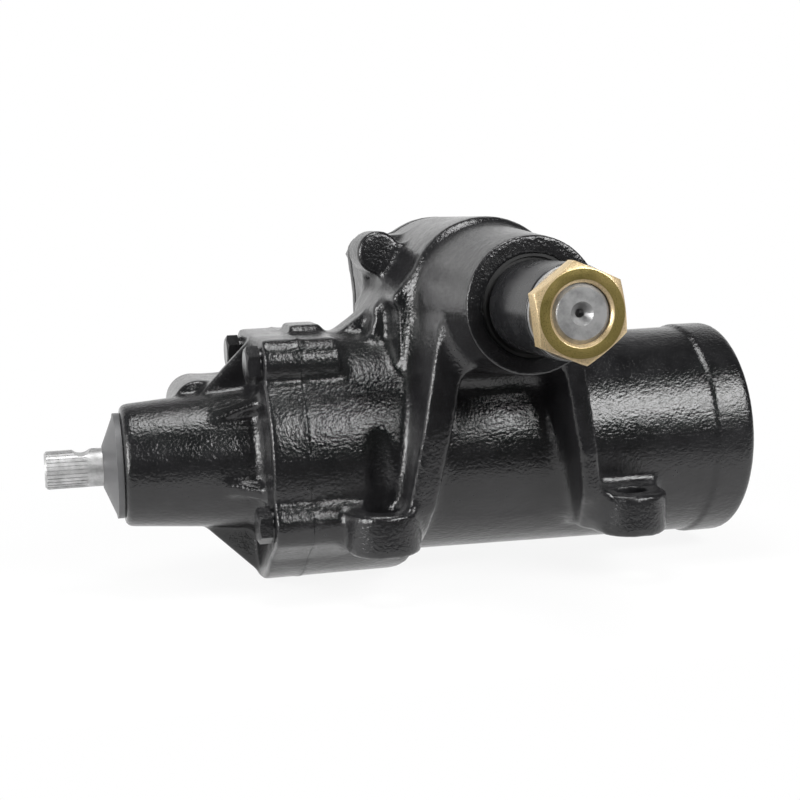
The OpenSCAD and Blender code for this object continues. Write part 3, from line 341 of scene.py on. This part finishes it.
def cast_skin(name, node, voxel_mm, freedom, keep_share, forms, trim=untrimmed):
    """A CAD node as a casting. Each form is laid over the one before where its zone(points in mm) is 1.
    freedom(points) is 1 where the skin may leave the CAD surface, and 0 on machined faces.
    trim(points, distance) mends the CAD distance first."""
    source = nodes[node].data
    source.calc_loop_triangles()
    points = fields(source, "vertices", "co", 3) / MM
    triangles = fields(source, "loop_triangles", "vertices", 3).astype(np.uint32)
    low = np.floor(points.min(0) / voxel_mm).astype(int) - EDGE_VOXELS
    shape = np.ceil(points.max(0) / voxel_mm).astype(int) + EDGE_VOXELS + 1 - low
    corner = tuple(int(i) for i in low)
    reach = BLEND_VOXELS * voxel_mm

    def distances(surface):
        values = np.empty(shape, np.float32)
        level_set(surface, voxel_mm, reach).copyToArray(values, ijk=corner)
        return values

    def near_points(mask):
        return (np.argwhere(mask) + low) * voxel_mm

    def surface_of(values):
        grid = openvdb.FloatGrid(float(values.max()))
        grid.copyFromArray(values, ijk=corner)
        grid.transform = openvdb.createLinearTransform(voxelSize=voxel_mm)
        return grid.convertToQuads(0.0)

    cad = distances((points, triangles))
    known = np.abs(cad) < cad.max() * KNOWN_SHARE
    cad[known] = trim(near_points(known), cad[known])
    trimmed = surface_of(cad)
    near = np.abs(cad) < reach
    layers = [distances(formed(trimmed, form)) for form in forms]
    for layer in layers:
        near |= np.abs(layer) < reach
    spots = near_points(near)
    skin = cad[near]
    for layer, form in zip(layers, forms):
        skin += (layer[near] - skin) * form.zone(spots)
    cad[near] += (skin - cad[near]) * freedom(spots)
    corners, quads = surface_of(cad)
    mesh = bpy.data.meshes.new(name)
    mesh.from_pydata(corners * MM, [], quads[:, ::-1])
    mesh = applied(mesh, "DECIMATE", ratio=keep_share)
    smooth(mesh)
    return add_piece(name, mesh, node)


def ease(distance, width):
    """0 at no distance, 1 from the width on."""
    share = np.clip(distance / width, 0, 1)
    return share * share * (3 - 2 * share)


def off_plane(points, axis, value_mm, width=2.0):
    return ease(np.abs(points[:, axis] - value_mm), width)


def off_bore(points, axis, centre_mm, radius_mm, width=2.0):
    """0 on and inside a bore along one axis."""
    across = [i for i in range(3) if i != axis]
    radius = np.hypot(points[:, across[0]] - centre_mm[0], points[:, across[1]] - centre_mm[1])
    return ease(radius - radius_mm, width)


def side(node, axis, high):
    """One face of a node's box, in millimetres."""
    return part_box(node)[int(high)][axis] / MM


# Places on the castings, in millimetres
RACK_AXIS = (RACK_Y / MM, RACK_Z / MM)
SECTOR_AXIS = (SECTOR_X / MM, SECTOR_Z / MM)
PART_FOOT = cad_box[0][2] / MM
EAR_HALF = 63.5
EAR_HOLE_R = 8.5
EAR_TOP = 25
BORE_R = 47.2
PISTON_BORE_R = 44.9
SEAL_BORE_R = 23.6
INPUT_BORE_R = 19.5
VALVE_BORE_R = 30.5
VALVE_NECK_X = -155
COVER_BORE_R = 18.5
COLLAR_X = 118.0
BOSS_Y = side("main_housing", 1, False)
COVER_Y = side("side_cover_gasket", 1, False)
CYLINDER_R = 53.8

# The hollow under the boss: its lip's ends along x, the lip's end in y and z, and the box of its fillets
SADDLE_X = (-27.5, 23.5)
SADDLE_END = (22, 69)
SADDLE_BOX = ((-48, -30, 0), (56, 45, 112))

# The roof's slope: a point out from the sector axis and up, its normal, and where the wedge under it starts
ROOF_EDGE = (47.2, 119.9)
ROOF_FALL = (0.79, 0.61)
ROOF_INSIDE = 43
GEAR_BOX_Y = (43.2, 90)
GEAR_BOX_TOP = 112

JOINT_X = side("main_housing", 0, False)
JOINT_GROWTH = 0.4
JOINT_REACH = 2.5
JOINT_OUTSIDE_R = 50

# Widths over which a skin leaves a machined face
FACE_FADE = 4
BOSS_FADE = 3
EDGE_FADE = 1.5


def main_freedom(points):
    free = off_plane(points, 0, JOINT_X, FACE_FADE) * off_plane(points, 1, COVER_Y, FACE_FADE)
    free *= off_bore(points, 0, RACK_AXIS, BORE_R) * off_bore(points, 1, SECTOR_AXIS, SEAL_BORE_R)
    for x in (-EAR_HALF, EAR_HALF):
        free *= np.maximum(off_bore(points, 2, (x, 0), EAR_HOLE_R, EDGE_FADE), points[:, 2] > EAR_TOP)
    free *= off_plane(points, 0, COLLAR_X, FACE_FADE)
    return free * off_plane(points, 1, BOSS_Y, BOSS_FADE)


def valve_freedom(points):
    free = off_plane(points, 0, JOINT_X, FACE_FADE) * off_bore(points, 0, RACK_AXIS, INPUT_BORE_R)
    inside = off_bore(points, 0, RACK_AXIS, VALVE_BORE_R)
    return free * np.where(points[:, 0] > VALVE_NECK_X, inside, 1)


def cover_freedom(points):
    seat = off_plane(points, 1, side("side_cover", 1, False), EDGE_FADE)
    return seat * off_bore(points, 1, SECTOR_AXIS, COVER_BORE_R)


def everywhere(points):
    return np.ones(len(points))


def in_box(points, low, high, width=8):
    """1 inside a box, falling to 0 over a width inside its faces."""
    inset = np.minimum(points - low, np.subtract(high, points)).min(1)
    return ease(inset, width)


def under_boss(points):
    """The hollow under the sector boss, between the webs."""
    return in_box(points, *SADDLE_BOX)


def close_joint(points, distance):
    """The outside grows a little next to the joint, where the voxels break the edges, but not below
    the part."""
    radius = np.hypot(points[:, 1] - RACK_AXIS[0], points[:, 2] - RACK_AXIS[1])
    share = (1 - ease(np.abs(points[:, 0] - JOINT_X), JOINT_REACH)) * (radius > JOINT_OUTSIDE_R)
    return np.maximum(distance - JOINT_GROWTH * share, PART_FOOT - points[:, 2])


def trim_housing(points, distance):
    """The hollow under the boss runs out on the cylinder with no lip, the roof's slope runs on down to
    the gear box, and the bore leaves room for the piston's seal."""
    x, y, z = points.T
    radius = np.hypot(y - RACK_AXIS[0], z - RACK_AXIS[1])
    lip = (x > SADDLE_X[0]) & (x < SADDLE_X[1]) & (y < SADDLE_END[0]) & (z < SADDLE_END[1])
    distance = np.where(lip, np.maximum(distance, radius - CYLINDER_R), distance)
    outward = np.abs(x - SECTOR_AXIS[0])
    slope = ROOF_FALL[0] * (outward - ROOF_EDGE[0]) + ROOF_FALL[1] * (z - ROOF_EDGE[1])
    walls = [slope, GEAR_BOX_Y[0] - y, y - GEAR_BOX_Y[1], ROOF_INSIDE - outward, GEAR_BOX_TOP - z]
    distance = np.minimum(distance, np.max(walls, axis=0))
    return close_joint(points, np.maximum(distance, PISTON_BORE_R - radius))


cast_skin("housing_casting", "main_housing", 1.2, main_freedom, keep_share=0.35,
          forms=[CastForm(3.5, 1, 1.2, everywhere), CastForm(8, 1, 1.5, under_boss)], trim=trim_housing)
cast_skin("valve_casting", "valve_housing", 1.0, valve_freedom, keep_share=0.4,
          forms=[CastForm(1.6, 0.8, 1.0, everywhere)], trim=close_joint)
cast_skin("cover_casting", "side_cover", 1.3, cover_freedom, keep_share=0.4,
          forms=[CastForm(3, 1.5, 1.3, everywhere)])


# Turned pieces and fasteners

MERGE_M = 1e-6
HEAD_CHAMFER_SHARE = 0.9
HEAD_CHAMFER_SLOPE = 0.6
FOOT_REACH = 0.1


def lathe(rings, segments, axis, centre, caps=True):
    """A mesh of rings about one axis, in millimetres. Each ring is (radius, place), and either may be a
    function of the angle."""
    angles = np.arange(segments) * math.tau / segments
    across = [i for i in range(3) if i != axis]
    points = np.empty((len(rings), segments, 3))
    for ring, (radius, place) in zip(points, rings):
        radii = radius(angles) if callable(radius) else radius
        ring[:, across[0]] = centre[0] + radii * np.cos(angles)
        ring[:, across[1]] = centre[1] + radii * np.sin(angles)
        ring[:, axis] = place(angles) if callable(place) else place
    near = np.arange(segments)
    far = np.roll(near, -1)
    faces = []
    for number in range(len(rings) - 1 if caps else len(rings)):
        here, there = number * segments, (number + 1) % len(rings) * segments
        faces += np.stack([here + near, here + far, there + far, there + near], 1).tolist()
    if caps:
        faces += [near[::-1].tolist(), (near + (len(rings) - 1) * segments).tolist()]
    mesh = bpy.data.meshes.new("lathe")
    mesh.from_pydata(points.reshape(-1, 3) * MM, [], faces)
    work = bmesh.new()
    work.from_mesh(mesh)
    bmesh.ops.recalc_face_normals(work, faces=work.faces)
    work.to_mesh(mesh)
    work.free()
    return mesh


def sleeve(node, wall_mm, round_mm, segments=128):
    """The sleeve on the sector shaft as a turned tube with a rounded front end."""
    low, high = (np.array(corner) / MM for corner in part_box(node))
    outer = (high[0] - low[0]) / 2
    inner = outer - wall_mm
    steps = [math.radians(angle) for angle in range(0, 91, 15)]
    front = [(outer - round_mm * (1 - math.sin(step)), low[1] + round_mm * (1 - math.cos(step)))
             for step in steps]
    rings = [(inner, low[1]), *front, (outer, high[1]), (inner, high[1])]
    mesh = lathe(rings, segments, 1, SECTOR_AXIS, caps=False)
    shade(mesh)
    return add_piece("pitman_sleeve", mesh, node)


def islands(mesh):
    """The points of each loose part of a mesh, in millimetres."""
    work = bmesh.new()
    work.from_mesh(mesh)
    bmesh.ops.remove_doubles(work, verts=work.verts, dist=MERGE_M)
    found = set()
    groups = []
    for start in work.verts:
        if start in found:
            continue
        found.add(start)
        queue = [start]
        group = []
        while queue:
            vert = queue.pop()
            group.append(vert.co[:])
            neighbours = [edge.other_vert(vert) for edge in vert.link_edges]
            fresh = [neighbour for neighbour in neighbours if neighbour not in found]
            found.update(fresh)
            queue += fresh
        groups.append(np.array(group) / MM)
    work.free()
    return groups


def hex_bolts(node, axis, head_up, flats_mm, head_mm, washer_mm=1.0, segments=72):
    """Hexagon bolts on the places of the CAD bolts: chamfered heads with a washer face, and plain shanks."""
    half = flats_mm / 2
    chamfer = HEAD_CHAMFER_SHARE * half
    across = [i for i in range(3) if i != axis]
    sign = 1 if head_up else -1
    turn = math.pi / 6 if axis == 0 else 0

    def corner(angles):
        return half / np.cos((angles + turn) % (math.pi / 3) - math.pi / 6)

    work = bmesh.new()
    for points in islands(nodes[node].data):
        low, high = points.min(0), points.max(0)
        centre = (low[across] + high[across]) / 2
        top, foot = (high[axis], low[axis]) if head_up else (low[axis], high[axis])
        seat = top - sign * head_mm
        rim = points[np.abs(points[:, axis] - foot) < FOOT_REACH][0]
        shank = np.hypot(*(rim[across] - centre))
        rings = [
            (chamfer, top),
            (corner, lambda angles: top - sign * HEAD_CHAMFER_SLOPE * (corner(angles) - chamfer)),
            (corner, seat + sign * washer_mm),
            (half, seat + sign * washer_mm),
            (half, seat),
            (shank, seat),
            (shank, foot),
        ]
        work.from_mesh(lathe(rings, segments, axis, centre))
    mesh = bpy.data.meshes.new(node)
    work.to_mesh(mesh)
    work.free()
    shade(mesh, 25)
    return add_piece(node + "_heads", mesh, node)


def eased_edges(node, width_mm, min_deg=28):
    """A CAD node with its sharp edges broken by a small bevel."""
    mesh = nodes[node].data.copy()
    work = bmesh.new()
    work.from_mesh(mesh)
    bmesh.ops.remove_doubles(work, verts=work.verts, dist=MERGE_M)
    bmesh.ops.dissolve_limit(work, angle_limit=math.radians(0.5), verts=work.verts, edges=work.edges)
    work.to_mesh(mesh)
    work.free()
    mesh = applied(mesh, "BEVEL", width=width_mm * MM, segments=2, limit_method="ANGLE",
                   angle_limit=math.radians(min_deg))
    shade(mesh, 20)
    return add_piece(node + "_eased", mesh, node)


eased_edges("pitman_nut", width_mm=0.35)
eased_edges("pitman_lock_washer", width_mm=0.3)
sleeve("spline_sleeve", wall_mm=3.0, round_mm=0.9)
hex_bolts("valve_housing_bolts", axis=0, head_up=False, flats_mm=15.9, head_mm=7.7)
hex_bolts("side_cover_bolts", axis=1, head_up=True, flats_mm=17, head_mm=7)
eased_edges("adjuster_locknut", width_mm=0.4)
eased_edges("end_plug", width_mm=0.5)
for obj in nodes.values():
    if not obj.hide_render:
        shade(obj.data)


# Stage

def flat_plane(name, low, high, z):
    mesh = bpy.data.meshes.new(name)
    corners = [(low[0], low[1], z), (high[0], low[1], z), (high[0], high[1], z), (low[0], high[1], z)]
    mesh.from_pydata(corners, [], [(0, 1, 2, 3)])
    obj = bpy.data.objects.new(name, mesh)
    bpy.context.scene.collection.objects.link(obj)
    return obj


FLOOR_LOW = (-1.6, -0.13)
FLOOR_HIGH = (1.6, 2.2)
FLOOR_GAP = 0.0005
floor_look = Shader("floor_white", {"Roughness": 0.9})
floor_tone = floor_look.noise(60.0, detail=2)
floor_look.link(floor_look.ramp(floor_tone, [(0.3, 0.93), (0.7, 0.95)]), "Base Color")
seen = floor_look.add("ShaderNodeLightPath").outputs
mirrored = floor_look.math("MAXIMUM", seen["Is Glossy Ray"], seen["Is Transmission Ray"])
shown = floor_look.math("MAXIMUM", seen["Is Camera Ray"], mirrored)
far = floor_look.add("ShaderNodeVectorMath", {0: floor_look.place}, operation="LENGTH").outputs["Value"]
share = floor_look.ramp(far, [(0.15, 0.9), (0.45, 1.0)])
white = floor_look.add("ShaderNodeEmission", {"Strength": 1.0}).outputs[0]
blend = floor_look.add("ShaderNodeMixShader", {0: floor_look.math("MULTIPLY", shown, share)})
floor_look.tree.links.new(floor_look.principled.outputs[0], blend.inputs[1])
floor_look.tree.links.new(white, blend.inputs[2])
floor_look.tree.links.new(blend.outputs[0], floor_look.tree.nodes["Material Output"].inputs["Surface"])
floor = flat_plane("floor", FLOOR_LOW, FLOOR_HIGH, cad_box[0][2] - FLOOR_GAP)
dress(floor, floor_look.material)


# Light

def area_light(name, place, aim, width, height, watts):
    data = bpy.data.lights.new(name, "AREA")
    data.shape = "RECTANGLE"
    data.size = width
    data.size_y = height
    data.energy = watts
    lamp = bpy.data.objects.new(name, data)
    bpy.context.scene.collection.objects.link(lamp)
    lamp.location = place
    lamp.rotation_euler = (Vector(aim) - Vector(place)).to_track_quat("-Z", "Y").to_euler()
    return lamp


MIDDLE = (-0.03, 0.05, 0.05)
area_light("key", (0.48, -0.8, 0.68), MIDDLE, width=0.85, height=0.4, watts=14)
area_light("top_box", (-0.1, 0.0, 0.9), MIDDLE, width=0.4, height=0.35, watts=4)
area_light("left_box", (-0.95, -0.3, 0.3), MIDDLE, width=0.4, height=0.5, watts=8)

# White walls behind and at the left, dark on the camera's side
WALL_SIDE = (-0.45, 0.89, 0)
world = bpy.data.worlds.new("studio")
bpy.context.scene.world = world
world.use_nodes = True
sky = world.node_tree


def sky_range(value, low, high, at_low, at_high):
    inputs = {"Value": value, "From Min": low, "From Max": high, "To Min": at_low, "To Max": at_high}
    return add_node(sky, "ShaderNodeMapRange", inputs, interpolation_type="SMOOTHSTEP").outputs[0]


direction = add_node(sky, "ShaderNodeTexCoord").outputs["Generated"]
height = add_node(sky, "ShaderNodeSeparateXYZ", {0: direction}).outputs["Z"]
sideways = add_node(sky, "ShaderNodeVectorMath", {0: direction, 1: WALL_SIDE},
                    operation="DOT_PRODUCT").outputs["Value"]
wall = sky_range(sideways, low=-0.1, high=0.4, at_low=0.06, at_high=1.0)
ceiling = sky_range(height, low=0.3, high=0.8, at_low=1.0, at_high=0.12)
glow = add_node(sky, "ShaderNodeMath", {0: wall, 1: ceiling}, operation="MULTIPLY").outputs[0]
watched = add_node(sky, "ShaderNodeLightPath").outputs["Is Camera Ray"]
strength = add_node(sky, "ShaderNodeMath", {0: glow, 1: watched}, operation="MAXIMUM").outputs[0]
sky.links.new(strength, sky.nodes["Background"].inputs["Strength"])
sky.nodes["Background"].inputs["Color"].default_value = rgb(1, 1, 1)


# Camera

CAMERA_YAW = math.radians(-14.136)
CAMERA_PITCH = math.radians(7.504)
CAMERA_ROLL = math.radians(-1.602)
CAMERA_DISTANCE = 749.3 * MM
CAMERA_AIM = Vector((-36.8, 67.0, 63.5)) * MM
FOCAL_MM = 64.36

back = Vector((math.sin(CAMERA_YAW) * math.cos(CAMERA_PITCH),
               -math.cos(CAMERA_YAW) * math.cos(CAMERA_PITCH),
               math.sin(CAMERA_PITCH)))
right = Vector((0, 0, 1)).cross(back).normalized()
up = back.cross(right)
turn = Matrix.Rotation(CAMERA_ROLL, 4, "Z")
basis = Matrix((right, up, back)).transposed().to_4x4() @ turn
camera_data = bpy.data.cameras.new("camera")
camera_data.sensor_width = 36
camera_data.lens = FOCAL_MM
camera = bpy.data.objects.new("camera", camera_data)
bpy.context.scene.collection.objects.link(camera)
camera.matrix_world = Matrix.Translation(CAMERA_AIM + back * CAMERA_DISTANCE) @ basis
bpy.context.scene.camera = camera
bpy.context.scene.view_settings.view_transform = "Standard"
